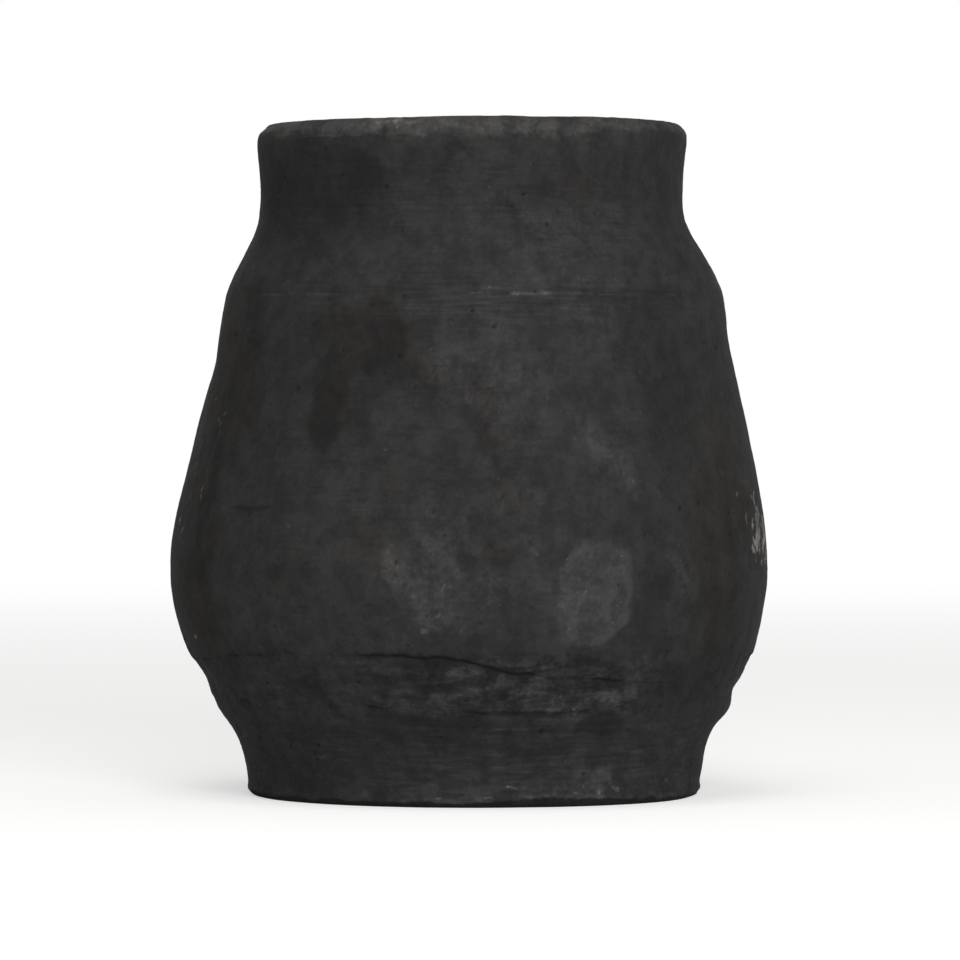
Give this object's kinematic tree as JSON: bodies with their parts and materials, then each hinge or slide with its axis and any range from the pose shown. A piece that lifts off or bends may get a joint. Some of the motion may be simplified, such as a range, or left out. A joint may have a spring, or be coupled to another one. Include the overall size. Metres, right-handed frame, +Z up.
{
  "type": "clay pot",
  "caption": "Matt black hand-built clay pot with a wide low belly, a short straight neck, a rounded open rim and a flat foot.",
  "frame": {"origin": "centre of the flat underside, on the pot's turning axis", "axes": "+Z up through the mouth; +X to the right in the front view, +Y away from the viewer"},
  "size_m": [0.2232, 0.2232, 0.25],
  "materials": {
    "black_clay": "matt unglazed reduction-fired clay, smoothed and wiped",
    "smoked_base": "matt unglazed clay, rough and scraped",
    "rubbed_rim": "matt unglazed clay, worn slightly lighter by handling"
  },
  "bodies": {
    "root": {"base_disc": "smoked_base", "foot_wall": "black_clay", "seam_coil": "black_clay", "belly_wall": "black_clay", "body_wall": "black_clay", "shoulder_wall": "black_clay", "neck_coil": "black_clay", "collar_wall": "black_clay", "rim_coil": "rubbed_rim"}
  },
  "joints": []
}
